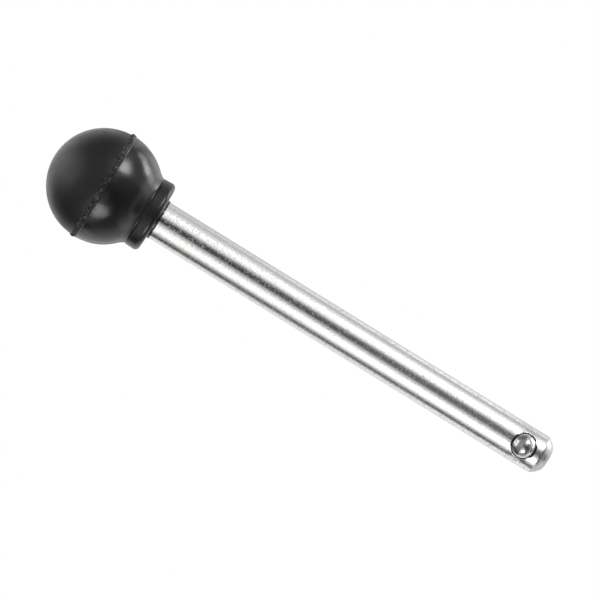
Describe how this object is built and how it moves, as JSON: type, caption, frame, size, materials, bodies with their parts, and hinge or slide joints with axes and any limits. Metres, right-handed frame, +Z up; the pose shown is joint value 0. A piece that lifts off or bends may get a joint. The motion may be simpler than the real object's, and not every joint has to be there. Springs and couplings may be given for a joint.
{
  "type": "hitch pin lock",
  "caption": "Straight round locking pin with a collared rubber ball knob at one end and a spring-loaded detent ball in its side near the rounded nose.",
  "frame": {"origin": "on the pin's axis at the face of the knob's collar, where the pin's parallel part starts", "axes": "+Z up the pin's axis towards the knob, and the detent ball looks out along -Y"},
  "size_m": [0.0296, 0.0296, 0.1409],
  "materials": {
    "plated_steel": "gloss",
    "black_rubber": "satin",
    "insert_brass": "satin",
    "ball_steel": "polished",
    "spring_steel": "satin"
  },
  "bodies": {
    "pin": {"shank": "plated_steel", "grip": "black_rubber", "knob_insert": "insert_brass", "detent_spring": "spring_steel"},
    "detent": {"detent_ball": "ball_steel"}
  },
  "joints": [
    {"name": "detent_press", "type": "slide", "parent": "pin", "child": "detent", "axis": [0, 1, 0], "range_m": [0, 0.0021], "stiffness_N_per_m": 2000, "deforming": ["detent_spring"]}
  ]
}
